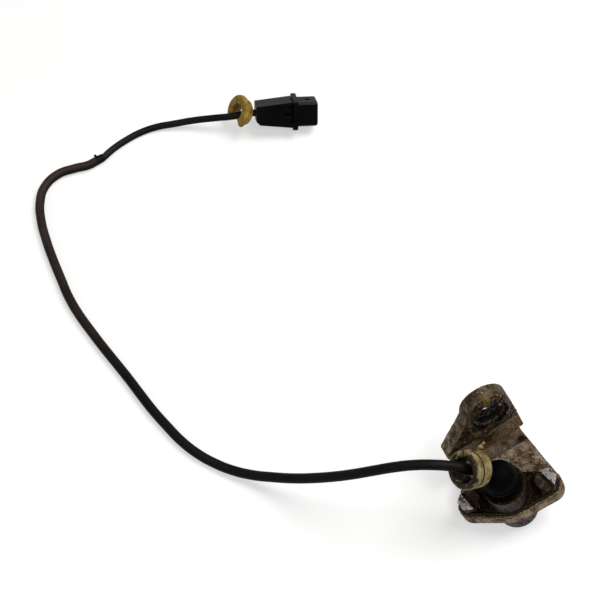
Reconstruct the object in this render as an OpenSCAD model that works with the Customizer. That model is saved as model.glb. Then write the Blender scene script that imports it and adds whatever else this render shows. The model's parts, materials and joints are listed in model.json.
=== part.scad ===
// Crankshaft position sensor on a cast bracket, with its lead and connector,
// lying on a table. Millimetres, Z up, table at Z = 0.

/* [Bracket] */
// Thickness of the seat plate
plate_t = 5.8; // [5:0.2:9]
// Distance between the two flange screws
screw_pitch = 36.5; // [34:0.5:44]
// Radius of the plate round each screw
ear_r = 6.4; // [6.2:0.2:9]
// Radius of the plate in front of the barrel
nose_r = 11.4; // [11.2:0.2:15]
// Thickness of the upright arm
arm_t = 7.5; // [5:0.5:10]
// Distance from the barrel's axis to the front of the arm
arm_set = 23; // [22:0.5:28]
// Turn of the arm from the line of the screws, in degrees
arm_turn = 18; // [10:1:25]
// Place of the arm's hole along the arm
hole_x = 11.4; // [9:0.2:13]
// Height of the arm's hole above the seat
hole_z = 33; // [32:0.2:42]
// Diameter of the arm's hole
hole_d = 13; // [8:0.5:14]
// Diameter of the spot face round the hole
spot_d = 17.4; // [16:0.2:19]
// Depth of the spot face
spot_deep = 2.2; // [1:0.2:3]
// Place of the arm's round top along the arm
boss_x = 11.6; // [11:0.2:13]
// Height of the centre of the arm's round top above the seat
boss_z = 34.4; // [33:0.2:42]
// Radius of the arm's round top
boss_r = 11.3; // [11:0.1:13]
// Run of the slope at the foot of the arm
foot_run = 4.6; // [1:0.2:5]
// Rise of that slope
foot_rise = 8; // [4:0.5:9]

/* [Sensor] */
// Diameter of the barrel
barrel_d = 19.5; // [18:0.1:20]
// Step from the barrel out to its thicker root in the seat plate
root_step = 0.25; // [0.2:0.05:0.4]
// Reach of the barrel below the seat plate
tip_out = 10; // [6:0.2:12]
// Thickness of the sensor's flange
flange_t = 3.2; // [3:0.2:6]
// Step from the plate's edge in to the flange's edge
flange_inset = 0.9; // [0.6:0.1:1.2]
// Diameter of the collar above the flange
collar_d = 20; // [19.5:0.1:21]
// Height of the collar above the flange
collar_h = 9.5; // [8:0.5:12]
// Diameter of the well in the collar
well_d = 17; // [16.4:0.1:17.4]
// Depth of the well in the collar
well_deep = 6; // [4:0.5:7]
// Thickness of the housing round the coil
barrel_wall = 1.8; // [1.2:0.1:2.2]
// Thickness of the housing at the sensing tip
tip_wall = 1.6; // [1:0.1:2.5]
// Chamfer at the sensing tip
tip_chamfer = 0.8; // [0.4:0.1:1.2]

/* [Coil] */
// Diameter of the pole pin
pole_d = 4.4; // [3:0.1:6]
// Wall of the bobbin's tube
bobbin_wall = 0.9; // [0.6:0.1:1.2]
// Thickness of the bobbin's two rims
bobbin_rim = 1; // [0.6:0.1:1.5]
// Length of the bobbin
bobbin_h = 11; // [8:0.5:12]
// Diameter of the magnet
magnet_d = 9; // [7:0.5:10]
// Height of the magnet
magnet_h = 5; // [3:0.5:6]
// Width of a terminal blade
blade_w = 1.6; // [1:0.1:2]
// Thickness of a terminal blade
blade_t = 0.6; // [0.4:0.1:0.8]
// Height of a terminal blade above the bobbin
blade_h = 7.6; // [6:0.1:8]

/* [Screws] */
// Thread diameter of the flange screws
screw_d = 6; // [5:0.5:6]
// Width across flats of the screw heads
screw_af = 9.6; // [9:0.2:10.4]
// Height of the screw heads
screw_head_h = 4; // [3:0.2:5]
// Width of the screwdriver slot
slot_w = 1.8; // [1:0.1:2.2]
// Depth of the screwdriver slot
slot_deep = 1.6; // [1:0.1:2.2]
// Wall of the steel bushes in the flange
bush_wall = 1; // [0.8:0.1:1.2]

/* [Boot] */
// Diameter of the boot's neck
neck_d = 14.4; // [13:0.2:15]
// Diameter of the boot's cap
cap_d = 16.6; // [15:0.2:17.4]
// Width of the lip round the bottom of the cap
lip_w = 0.5; // [0.2:0.1:0.8]
// Height of the lip
lip_h = 1.2; // [0.8:0.1:2]
// Height of the cap's lip above the flange
cap_low = 15.2; // [13:0.2:15.4]
// Height of the bend's centre above the flange
bend_z = 16.6; // [16.4:0.2:24]
// Angle from the barrel's axis to the outlet, in degrees
outlet_angle = 36; // [32:1:50]
// Length of the outlet from the bend's centre
outlet_len = 8.4; // [8.4:0.2:12]
// Diameter of the outlet at the bend
outlet_root_d = 12; // [10:0.2:14]
// Diameter of the outlet's end
outlet_d = 8.4; // [7:0.2:9]

/* [Lead] */
// Diameter of the sheathed cable
cable_d = 4.8; // [4:0.1:5]
// Diameter of the thin lead
lead_d = 3.8; // [3:0.1:4]
// Outer diameter of the grommet at the boot
ring_d = 17.6; // [17:0.2:20]
// Diameter of the hole in that grommet
ring_hole_d = 11.8; // [11.6:0.2:12.6]
// Thickness of that grommet
ring_t = 11.2; // [8:0.2:12]
// Outer diameter of the grommet behind the connector
split_d = 18; // [17:0.2:19]
// Diameter of the hole in that grommet at the narrower flange
split_hole_d = 10; // [9.8:0.2:10.6]
// Diameter of the hole at the wide flange
split_mouth_d = 8.4; // [8:0.2:9.4]
// Thickness of that grommet
split_t = 6.6; // [6:0.2:7]
// Length of the sleeve that tapers from the sheath to the thin lead
band_len = 4.4; // [3:0.2:4.6]

/* [Connector] */
// Length of the tapered rear body
rear_len = 19.6; // [18:0.2:26]
// Height of the rear body at the lead
rear_low_h = 10.4; // [10:0.2:12]
// Height of the rear body at the collar
rear_high_h = 14.4; // [14:0.2:16]
// Width of the rear body
rear_w = 12.6; // [12:0.2:14]
// Side of the collar across its height
collar_side_h = 17; // [16.4:0.2:19]
// Side of the collar across its width
collar_side_w = 15.4; // [15:0.2:17]
// Thickness of the collar
plug_collar_t = 2.6; // [1.6:0.2:4]
// Height of the square nose
nose_h = 13.6; // [13:0.2:15]
// Width of the square nose
nose_w = 12.6; // [12:0.2:14]
// Length of the square nose
nose_len = 11; // [9.6:0.2:16]
// Wall of the nose
nose_wall = 1.3; // [1:0.1:1.6]
// Chamfer along the corners of the nose
nose_chamfer = 1.2; // [0.6:0.1:1.6]
// Diameter of the latch hole in the nose
latch_d = 2.4; // [1.6:0.1:3]
// Diameter of a contact
pin_d = 1.5; // [1:0.1:1.6]
// Spacing of the contacts
pin_pitch = 2.4; // [2:0.1:2.6]
// Number of contacts
pin_count = 3; // [2:1:3]

/* [Lie on the table] */
// Lean of the barrel on the table, in degrees
lean = 21; // [16:1:24]
// Turn of the screws' line from the direction in which the bracket leans, in degrees
swing = 7; // [0:1:15]
// Roll of the connector about its length, in degrees
plug_roll = 33; // [0:1:40]
// Heading of the connector, in degrees
plug_heading = 6; // [0:1:12]
// Dip of the connector's mating end, in degrees
plug_dip = 4; // [0:1:8]

/* [Hidden] */
$fn = 64;

// Clearances between pieces that fit in each other
slide_gap = 0.2;
seat_gap = 0.1;
// Overlap of a cutting tool past the face that it cuts
cut = 1;
// Facets of a quarter turn of an outline
arc_steps = 8;

// Levels above the seat of the bracket
plate_low = -plate_t;
tip_low = -plate_t - tip_out;
collar_top = flange_t + collar_h;
well_low = collar_top - well_deep;
lip_low = flange_t + cap_low;
bend_high = flange_t + bend_z;
coil_low = tip_low + tip_wall;
bobbin_top = coil_low + seat_gap + bobbin_h;
magnet_low = bobbin_top + seat_gap;
plug_low = magnet_low + magnet_h + seat_gap;

// Rest on the table: the rim of the tip touches it, and the cable and the connector lie on it
root_d = barrel_d + 2 * root_step;
chamber_r = barrel_d / 2 - barrel_wall;
tip_r = barrel_d / 2 - tip_chamfer;
seat_h = tip_r * sin(lean) - tip_low * cos(lean);
seat_x = 3.36;
seat_y = -13;

// Boot's outlet in the table frame: where the cable starts and its direction there
outlet_lean = lean + outlet_angle;
boot_way = [-sin(outlet_lean), 0, cos(outlet_lean)];
boot_exit = [seat_x - bend_high * sin(lean), seat_y, seat_h + bend_high * cos(lean)] + outlet_len * boot_way;

// Grommet on the cable at the boot
ring_off = 8.3;
ring_tilt = [25, 6, 0];
ring_edge = 0.7;
ring_groove = 0.7;
ring_groove_z = 0.6;
ring_split = 6;
ring_split_turn = 65;

// Route of the lead on the table: sheathed cable, joint and thin lead
cable_lead_in = 7;
lead_run_in = 5;
cable_sides = 10;
lead_sides = 8;
cable_route = [
    [-26, -13, 48.6], [-34.5, -12.8, 49.6], [-43, -12.2, 48.1], [-51.5, -11.4, 44.3], [-60.5, -10.6, 39],
    [-69.5, -9.5, 33], [-78.5, -7.8, 26.8], [-87.5, -5.6, 20.7], [-96.5, -3, 14.9], [-106, 0, 9.8],
    [-115.5, 3, 5.8], [-125, 6.5, 3.5], [-134, 10.8, 2.6], [-142.5, 16, 2.6], [-150.5, 22.8, 2.6],
    [-157.5, 30.5, 2.6], [-164.5, 38.8, 2.6], [-171, 47.5, 2.6], [-177.5, 56.5, 2.6], [-184.5, 65.7, 2.6],
    [-191.5, 74.8, 2.6], [-198.2, 84, 2.6], [-205, 93.8, 2.6], [-211, 104.2, 2.6], [-216, 115.5, 2.6],
    [-221, 127.2, 2.6], [-225.5, 139, 2.6], [-229.3, 151.5, 2.6], [-231, 163.5, 2.6], [-229.5, 173.5, 2.6],
    [-223, 182, 2.6], [-214.6, 185.8, 2.6], [-207, 188.2, 2.6]
];
joint = [-203.2, 190.8, 2.6];
lead_route = [
    [-199.4, 193.4, 2.6], [-196.6, 197, 2.4], [-193.2, 200.9, 2.1], [-188.8, 204.9, 2], [-181, 210.5, 2],
    [-172.5, 214.1, 2.4], [-162, 215.5, 3.8], [-151, 215.8, 6.4], [-139.5, 215, 9.4], [-128.5, 214.4, 11.9]
];

// Sleeve at the joint
band_wall = 0.3;
stub_x = 0.9;
stub_d = 1.4;
stub_len = 1;
stub_lift = 35;

// Grommet behind the connector, tilted on the lead: its open side rests on the lead
split_edge = 0.8;
split_groove_z = -0.3;
split_groove_w = 1;
split_groove_r = 6.2;
split_rim_r = 7;
split_dip = 56;
split_heading = 202;
split_open_turn = -17;
split_open_from = 1.2;
split_rest = 1.3;
split_place = [-125, 216, 13.4];

// Connector
plug_exit = [-117.4, 216.1, 12.24];
plug_way = [cos(plug_dip) * cos(plug_heading), cos(plug_dip) * sin(plug_heading), -sin(plug_dip)];
rear_chamfer = 2;
rear_wall = 1.2;
rear_gap = 0.3;
pocket_x = 7;
tooth_places = [-4.2, 0, 4.2];
tooth_w = 2.2;
tooth_deep = 1.6;
window = 1.8;
window_x = 16.8;
window_z = 0.4;
latch_x = 5.8;
seal_len = 5;
seal_d = 7.6;
carrier_back = 2.4;
pin_start = 0.8;
pin_back = 5;
pin_places = [for (k = [0:pin_count - 1]) (k - (pin_count - 1) / 2) * pin_pitch];

// Arm, in the plane of its front face
web_left = -9;
web_right = 20.4;
arm_right = boss_x + boss_r;
arm_low = 8.4;
arm_left = -15.4;
arm_left_low = 14.8;
arm_heel = 3;
arm_corner = 1;
boss_shoulder = 1;
pad_low = 20.9;
pad_left = 0.5;
pad_proud = 0.8;
web_back = 0.8;
web_corner = 1.5;
spot_rim_w = 1.2;
spot_rim_h = 0.4;

// Flange screws stand at these places along the screws' line
screw_places = [-screw_pitch / 2, screw_pitch / 2];
slot_turns = [-62, -58];

function turned(p, a) = [p.x * cos(a) - p.y * sin(a), p.x * sin(a) + p.y * cos(a)];

// Direction of the outer tangent's normal from one round corner to the next
function tangent_turn(a, b) =
    let (d = [b.x - a.x, b.y - a.y])
    atan2(d.y, d.x) - acos((a[2] - b[2]) / norm(d));

// Outline drawn tight round a ring of circles, each [x, y, radius], counter-clockwise
function belt(circles) = [
    for (i = [0:len(circles) - 1])
    let (
        c = circles[i],
        start = tangent_turn(circles[(i + len(circles) - 1) % len(circles)], c),
        stop = tangent_turn(c, circles[(i + 1) % len(circles)]),
        sweep = (stop - start + 720) % 360
    )
    for (k = [0:arc_steps])
    [c.x + c[2] * cos(start + sweep * k / arc_steps), c.y + c[2] * sin(start + sweep * k / arc_steps)]
];

// Rhombic outline round the barrel and the two screws
function rhombus(ear, nose) = belt([
    [0, 0, nose], [screw_pitch / 2, 0, ear], [0, 0, nose], [-screw_pitch / 2, 0, ear]
]);

module at_rest() {
    translate([seat_x, seat_y, seat_h]) rotate([0, -lean, 0]) rotate([0, 0, swing]) children();
}

// The arm's own frame: X along the arm, Y up, Z out of its front face
module on_arm() {
    rotate([0, 0, arm_turn]) translate([0, arm_set, 0]) rotate([90, 0, 0]) children();
}

module seat_plate() {
    foot_y = arm_set + arm_t - web_corner;
    right = turned([web_right - web_corner, foot_y], arm_turn);
    left = turned([web_left + web_corner, foot_y], arm_turn);
    translate([0, 0, plate_low]) linear_extrude(plate_t) polygon(belt([
        [0, 0, nose_r], [screw_pitch / 2, 0, ear_r], [right.x, right.y, web_corner],
        [left.x, left.y, web_corner], [-screw_pitch / 2, 0, ear_r]
    ]));
}

module arm_outline() {
    polygon(belt([
        [arm_right - arm_corner, arm_low + arm_corner, arm_corner],
        [boss_x + boss_shoulder, boss_z - boss_shoulder / 2, boss_r - boss_shoulder],
        [arm_left + arm_heel, arm_left_low + arm_heel, arm_heel],
        [boss_x - boss_r, arm_low + arm_heel, arm_heel]
    ]));
    translate([boss_x, boss_z]) circle(boss_r);
}

module arm_plate() {
    on_arm() translate([0, 0, -arm_t]) linear_extrude(arm_t) arm_outline();
    on_arm() linear_extrude(pad_proud) intersection() {
        arm_outline();
        union() {
            translate([boss_x, boss_z]) circle(boss_r - pad_proud);
            translate([pad_left, pad_low]) square([arm_right - pad_left, boss_z - pad_low]);
        }
    }
    on_arm() translate([hole_x, hole_z, 0]) cylinder(h = pad_proud + spot_rim_h, d = spot_d + 2 * spot_rim_w);
}

// Wall between the seat plate and the arm, with a slope at its foot
module arm_web() {
    on_arm() translate([web_left, plate_low, -arm_t])
        cube([web_right - web_left, plate_t + arm_low + arm_heel, arm_t - web_back]);
    on_arm() translate([web_left, 0, -web_back]) rotate([0, 90, 0]) linear_extrude(web_right - web_left)
        polygon([[0, 0], [0, foot_run], [-foot_rise, 0]]);
}

module mounting_bracket() {
    color("#7d7369") at_rest() difference() {
        union() {
            seat_plate();
            arm_web();
            arm_plate();
        }
        translate([0, 0, plate_low - cut]) cylinder(h = plate_t + 2 * cut, d = root_d + 2 * slide_gap);
        for (x = screw_places) translate([x, 0, plate_low - cut])
            cylinder(h = plate_t + 2 * cut, d = screw_d + 2 * seat_gap);
        on_arm() translate([hole_x, hole_z, -arm_t - cut]) cylinder(h = arm_t + 3 * cut, d = hole_d);
        on_arm() translate([hole_x, hole_z, pad_proud - spot_deep]) cylinder(h = spot_deep + cut, d = spot_d);
    }
}

module sensor_housing() {
    color("#2b2420") at_rest() difference() {
        union() {
            linear_extrude(flange_t) polygon(rhombus(ear_r - flange_inset, nose_r - flange_inset));
            cylinder(h = collar_top, d = collar_d);
            translate([0, 0, plate_low]) cylinder(h = plate_t, d = root_d);
            translate([0, 0, tip_low + tip_chamfer]) cylinder(h = -tip_low, d = barrel_d);
            translate([0, 0, tip_low]) cylinder(h = tip_chamfer, r1 = tip_r, r2 = barrel_d / 2);
        }
        translate([0, 0, coil_low]) cylinder(h = well_low - coil_low + cut, r = chamber_r);
        translate([0, 0, well_low]) cylinder(h = well_deep + cut, d = well_d);
        translate([0, 0, tip_low - cut]) cylinder(h = tip_wall + 2 * cut, d = pole_d + 2 * seat_gap);
        for (x = screw_places) translate([x, 0, -cut])
            cylinder(h = flange_t + 2 * cut, d = screw_d + 2 * slide_gap + 2 * bush_wall + 2 * seat_gap);
    }
}

module flange_bushes() {
    color("#8c8880") at_rest() for (x = screw_places) translate([x, 0, 0]) difference() {
        cylinder(h = flange_t, d = screw_d + 2 * slide_gap + 2 * bush_wall);
        translate([0, 0, -cut]) cylinder(h = flange_t + 2 * cut, d = screw_d + 2 * slide_gap);
    }
}

module flange_screws() {
    head_r = screw_af / 2 / cos(30);
    color("#9a958c") at_rest() for (i = [0:1]) translate([screw_places[i], 0, flange_t]) rotate([0, 0, slot_turns[i]])
        difference() {
            union() {
                intersection() {
                    cylinder(h = screw_head_h, r = head_r, $fn = 6);
                    cylinder(h = screw_head_h, r1 = head_r + screw_head_h, r2 = screw_af / 2);
                }
                translate([0, 0, plate_low - flange_t + seat_gap]) cylinder(h = plate_t + flange_t, d = screw_d);
            }
            translate([-screw_af, -slot_w / 2, screw_head_h - slot_deep]) cube([2 * screw_af, slot_w, slot_deep + cut]);
        }
}

module pole_pin() {
    color("#6f7278") at_rest() translate([0, 0, tip_low]) cylinder(h = bobbin_top - tip_low, d = pole_d);
}

module coil_bobbin() {
    rim_r = chamber_r - slide_gap;
    tube_r = pole_d / 2 + seat_gap + bobbin_wall;
    color("#3a3a3c") at_rest() translate([0, 0, coil_low + seat_gap]) difference() {
        union() {
            cylinder(h = bobbin_rim, r = rim_r);
            cylinder(h = bobbin_h, r = tube_r);
            translate([0, 0, bobbin_h - bobbin_rim]) cylinder(h = bobbin_rim, r = rim_r);
        }
        translate([0, 0, -cut]) cylinder(h = bobbin_h + 2 * cut, d = pole_d + 2 * seat_gap);
    }
}

module coil_winding() {
    color("#b0622d") at_rest() translate([0, 0, coil_low + 2 * seat_gap + bobbin_rim]) difference() {
        cylinder(h = bobbin_h - 2 * bobbin_rim - 2 * seat_gap, r = chamber_r - 2 * slide_gap);
        translate([0, 0, -cut]) cylinder(h = bobbin_h + 2 * cut, r = pole_d / 2 + 2 * seat_gap + bobbin_wall);
    }
}

module magnet() {
    color("#55585c") at_rest() translate([0, 0, magnet_low]) cylinder(h = magnet_h, d = magnet_d);
}

// Place of a terminal blade from the axis, between the magnet and the chamber's wall
blade_x = (magnet_d / 2 + chamber_r) / 2;

module coil_terminals() {
    color("#c0a060") at_rest() for (side = [-1, 1])
        translate([side * blade_x - blade_t / 2, -blade_w / 2, bobbin_top]) cube([blade_t, blade_w, blade_h]);
}

module potting_plug() {
    color("#1d1d20") at_rest() difference() {
        translate([0, 0, plug_low]) cylinder(h = well_low - plug_low, r = chamber_r - seat_gap);
        for (side = [-1, 1])
            translate([side * blade_x - blade_t / 2 - seat_gap, -blade_w / 2 - seat_gap, plug_low - cut])
                cube([blade_t + 2 * seat_gap, blade_w + 2 * seat_gap, bobbin_top + blade_h + seat_gap - plug_low + cut]);
    }
}

module outlet_frame() {
    rotate([0, 0, -swing]) translate([0, 0, bend_high]) rotate([0, -outlet_angle, 0]) children();
}

module cable_boot() {
    color("#141416") at_rest() {
        translate([0, 0, well_low]) cylinder(h = well_deep, d = well_d - 2 * seat_gap);
        translate([0, 0, well_low]) cylinder(h = bend_high - well_low, d = neck_d);
        translate([0, 0, lip_low]) cylinder(h = lip_h, d = cap_d + 2 * lip_w);
        translate([0, 0, lip_low]) cylinder(h = bend_high - lip_low, d = cap_d);
        translate([0, 0, bend_high]) sphere(d = cap_d);
        outlet_frame() cylinder(h = outlet_len, d1 = outlet_root_d, d2 = outlet_d);
    }
}

// Rubber ring with a wide split, a groove round it and a bevelled rim on each side
module sensor_grommet() {
    outer = ring_d / 2;
    inner = ring_hole_d / 2;
    color("#a59a6a") at_rest() outlet_frame() translate([0, 0, outlet_len + ring_off]) rotate(ring_tilt)
        difference() {
            rotate_extrude() difference() {
                translate([inner, -ring_t / 2]) square([outer - inner, ring_t]);
                for (side = [-1, 1]) translate([outer, side * ring_t / 2]) rotate(45)
                    square(2 * ring_edge, center = true);
                translate([outer - ring_groove, ring_groove_z]) square([2 * ring_groove, ring_groove]);
            }
            rotate([0, 0, ring_split_turn]) translate([0, -ring_split / 2, -ring_t])
                cube([ring_d, ring_split, 2 * ring_t]);
        }
}

function rise(a, b) = (b - a) / norm(b - a);

// Direction of a route at one of its points
function heading(route, i) =
    let (last = len(route) - 1)
    rise(route[max(i - 1, 0)], route[min(i + 1, last)]);

// Ring of corners round one point of a route
function ring(route, i, r, sides) =
    let (
        along = heading(route, i),
        side = rise([0, 0, 0], cross(along, [0, 0, 1])),
        up = cross(side, along)
    )
    [for (k = [0:sides - 1]) route[i] + r * (side * cos(360 * k / sides) + up * sin(360 * k / sides))];

// Faces of a skin over a row of rings, closed at both ends
function skin_faces(rings, sides) = concat(
    [
        for (i = [0:rings - 2]) for (k = [0:sides - 1])
        [i * sides + k, i * sides + (k + 1) % sides, (i + 1) * sides + (k + 1) % sides, (i + 1) * sides + k]
    ],
    [[for (k = [0:sides - 1]) sides - 1 - k], [for (k = [0:sides - 1]) (rings - 1) * sides + k]]
);

// Tube swept along the points of a route
module tube(route, d, sides) {
    points = [for (i = [0:len(route) - 1]) each ring(route, i, d / 2, sides)];
    polyhedron(points, skin_faces(len(route), sides));
}

module sensor_cable() {
    lead_in = [boot_exit, boot_exit + cable_lead_in * boot_way];
    color("#1b1817") tube(concat(lead_in, cable_route, [joint]), cable_d, cable_sides);
}

module lead_cable() {
    run_in = [plug_exit - lead_run_in * plug_way, plug_exit + seal_len * plug_way];
    color("#17171a") tube(concat([joint], lead_route, run_in), lead_d, lead_sides);
}

// Sleeve that tapers from the sheath's end to the thin lead, with a short stub
module sleeve_tie() {
    way = rise(joint, lead_route[0]);
    color("#121113") translate(joint) rotate([0, 0, atan2(way.y, way.x)]) difference() {
        union() {
            rotate([0, 90, 0]) cylinder(h = band_len, d1 = cable_d, d2 = lead_d + 2 * band_wall);
            rotate([stub_lift, 0, 0]) translate([stub_x, 0, 0]) rotate([-90, 0, 0])
                cylinder(h = cable_d / 2 + stub_len, d = stub_d);
        }
        translate([-cut, 0, 0]) rotate([0, 90, 0]) cylinder(h = band_len + 2 * cut, d = lead_d + 2 * seat_gap);
    }
}

// Grommet on the lead: a wide flange, a groove and a narrower flange, open where the lead leaves its side
module lead_grommet() {
    wide_r = split_d / 2;
    far = -split_t / 2;
    near = split_t / 2;
    color("#b39a45") translate(split_place) rotate([0, split_dip, split_heading]) difference() {
        rotate_extrude() polygon([
            [split_hole_d / 2, far], [split_rim_r - split_edge, far], [split_rim_r, far + split_edge],
            [split_rim_r, split_groove_z - split_edge / 2], [split_rim_r - split_edge / 2, split_groove_z],
            [split_groove_r, split_groove_z], [split_groove_r, split_groove_z + split_groove_w],
            [wide_r - split_edge / 2, split_groove_z + split_groove_w], [wide_r, split_groove_z + split_groove_w + split_edge / 2],
            [wide_r, near - split_edge], [wide_r - split_edge, near], [split_mouth_d / 2, near]
        ]);
        rotate([0, 0, split_open_turn]) translate([split_open_from, -split_rest, -split_t])
            cube([split_d, split_d, 2 * split_t]);
    }
}

// Connector's own frame: X towards its mating end, from the rear face
module at_plug() {
    translate(plug_exit) rotate([0, plug_dip, plug_heading]) rotate([-plug_roll, 0, 0]) children();
}

// Bar along the connector with chamfered corners
module plug_bar(x, length, w, h, chamfer) {
    translate([x, 0, 0]) rotate([90, 0, 90]) linear_extrude(length) polygon([
        for (q = [[1, 1], [-1, 1], [-1, -1], [1, -1]])
        for (edge = (q.x * q.y > 0) ? [0, 1] : [1, 0])
        [q.x * (w / 2 - chamfer * edge), q.y * (h / 2 - chamfer * (1 - edge))]
    ]);
}

module rear_seal() {
    color("#0f0f11") at_plug() rotate([0, 90, 0]) difference() {
        cylinder(h = seal_len, d = seal_d);
        translate([0, 0, -cut]) cylinder(h = seal_len + 2 * cut, d = lead_d + 2 * seat_gap);
    }
}

module connector_rear() {
    color("#1a1718") at_plug() difference() {
        rotate([90, 0, 0]) translate([0, 0, -rear_w / 2]) linear_extrude(rear_w) polygon([
            [0, rear_low_h / 2], [0, -rear_low_h / 2 + rear_chamfer], [rear_chamfer, -rear_low_h / 2],
            [rear_len, -rear_high_h / 2], [rear_len, rear_high_h / 2]
        ]);
        translate([-cut, 0, 0]) rotate([0, 90, 0]) cylinder(h = seal_len + cut + seat_gap, d = seal_d + 2 * seat_gap);
        plug_bar(pocket_x, rear_len, rear_w - 2 * rear_wall, rear_low_h - rear_wall, 0);
        for (z = tooth_places) translate([rear_len - tooth_deep, -rear_w, z - tooth_w / 2])
            cube([tooth_deep + cut, 2 * rear_w, tooth_w]);
        translate([window_x - window / 2, -rear_w, -window / 2 + window_z]) cube([window, rear_w, window]);
    }
}

module connector_shell() {
    neck_w = rear_w - 2 * rear_wall - 2 * slide_gap;
    neck_h = rear_low_h - rear_wall - 2 * slide_gap;
    front = rear_len + rear_gap;
    color("#201c1d") at_plug() difference() {
        union() {
            plug_bar(pocket_x + slide_gap, front - pocket_x + cut, neck_w, neck_h, 0);
            plug_bar(front, plug_collar_t, collar_side_w, collar_side_h, nose_chamfer);
            plug_bar(front, plug_collar_t + nose_len, nose_w, nose_h, nose_chamfer);
        }
        plug_bar(front + plug_collar_t / 2, plug_collar_t + nose_len, nose_w - 2 * nose_wall, nose_h - 2 * nose_wall, 0);
        plug_bar(pocket_x - cut, front, neck_w - 2 * nose_wall, neck_h - 2 * nose_wall, 0);
        translate([front + plug_collar_t + latch_x, 0, 0]) cylinder(h = nose_h, d = latch_d);
    }
}

module contact_carrier() {
    neck_w = rear_w - 2 * rear_wall - 2 * slide_gap - 2 * nose_wall - 2 * seat_gap;
    neck_h = rear_low_h - rear_wall - 2 * slide_gap - 2 * nose_wall - 2 * seat_gap;
    color("#3d3634") at_plug() difference() {
        plug_bar(pocket_x + carrier_back, rear_len + rear_gap + plug_collar_t / 2 - pocket_x - carrier_back, neck_w, neck_h, 0);
        for (y = pin_places) translate([pocket_x, y, 0]) rotate([0, 90, 0]) cylinder(h = rear_len, d = pin_d + 2 * seat_gap);
    }
}

module contact_pins() {
    first = pocket_x + pin_start;
    color("#b8a06a") at_plug() for (y = pin_places) translate([first, y, 0]) rotate([0, 90, 0])
        cylinder(h = rear_len + rear_gap + plug_collar_t + nose_len - pin_back - first, d = pin_d);
}

mounting_bracket();
sensor_housing();
flange_bushes();
flange_screws();
pole_pin();
coil_bobbin();
coil_winding();
magnet();
coil_terminals();
potting_plug();
cable_boot();
sensor_grommet();
sensor_cable();
sleeve_tie();
lead_cable();
lead_grommet();
rear_seal();
connector_rear();
connector_shell();
contact_carrier();
contact_pins();
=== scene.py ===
import json
import math

import bpy
from mathutils import Matrix, Vector

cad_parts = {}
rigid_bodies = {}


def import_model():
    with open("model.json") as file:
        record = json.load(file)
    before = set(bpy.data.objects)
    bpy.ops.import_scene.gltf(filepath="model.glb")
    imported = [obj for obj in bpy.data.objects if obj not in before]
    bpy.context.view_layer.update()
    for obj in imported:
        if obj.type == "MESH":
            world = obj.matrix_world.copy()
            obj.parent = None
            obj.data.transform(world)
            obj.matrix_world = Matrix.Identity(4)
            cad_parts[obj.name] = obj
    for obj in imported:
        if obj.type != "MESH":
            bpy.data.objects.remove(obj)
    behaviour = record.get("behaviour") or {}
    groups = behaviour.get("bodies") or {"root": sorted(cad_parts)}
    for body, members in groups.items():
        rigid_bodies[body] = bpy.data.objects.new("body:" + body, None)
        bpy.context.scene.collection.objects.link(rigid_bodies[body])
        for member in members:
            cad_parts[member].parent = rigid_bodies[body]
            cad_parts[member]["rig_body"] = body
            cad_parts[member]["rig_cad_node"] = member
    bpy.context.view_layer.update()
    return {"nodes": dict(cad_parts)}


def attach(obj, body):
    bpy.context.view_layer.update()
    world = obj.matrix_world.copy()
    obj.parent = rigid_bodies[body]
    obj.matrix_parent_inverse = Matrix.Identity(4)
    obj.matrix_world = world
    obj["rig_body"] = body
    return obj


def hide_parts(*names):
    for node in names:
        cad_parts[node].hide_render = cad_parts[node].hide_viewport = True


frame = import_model()
mm = 0.001
meshForm = {"merge": 0.002, "flat": 0.5}  # points nearer than this are one; faces within this angle are one side
print("frame loaded with", len(frame["nodes"]), "nodes")


def linear(hexText):  # sRGB hex to linear RGBA
    parts = [int(hexText[i:i + 2], 16) / 255 for i in (1, 3, 5)]
    return [p / 12.92 if p <= 0.04045 else ((p + 0.055) / 1.055) ** 2.4 for p in parts] + [1.0]


def addNode(tree, kind, inputs=None, stops=None, **settings):
    node = tree.nodes.new("ShaderNode" + kind)
    for name, value in settings.items():
        setattr(node, name, value)
    for name, value in (inputs or {}).items():
        if isinstance(value, bpy.types.Node):  # a node stands for its first output in use
            value = next(output for output in value.outputs if output.enabled)
        if isinstance(value, bpy.types.NodeSocket):
            tree.links.new(value, node.inputs[name])
        else:
            node.inputs[name].default_value = value
    if stops:
        ramp = node.color_ramp
        ramp.elements.remove(ramp.elements[1])
        ramp.elements[0].position, ramp.elements[0].color = stops[0]
        for place, shade in stops[1:]:
            ramp.elements.new(place).color = shade
    return node


def startMaterial(name):
    material = bpy.data.materials.new(name)
    material.use_nodes = True
    material.node_tree.nodes.clear()
    place = addNode(material.node_tree, "TexCoord").outputs["Object"]
    return material, material.node_tree, place


def pickOnly(piece):
    if bpy.context.object and bpy.context.object.mode != "OBJECT":
        bpy.ops.object.mode_set(mode="OBJECT")
    bpy.ops.object.select_all(action="DESELECT")
    piece.select_set(True)
    bpy.context.view_layer.objects.active = piece


def applyModifier(piece, kind, **settings):
    pickOnly(piece)
    modifier = piece.modifiers.new(kind.lower(), kind)
    for name, value in settings.items():
        setattr(modifier, name, value)
    bpy.ops.object.modifier_apply(modifier=modifier.name)


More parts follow.
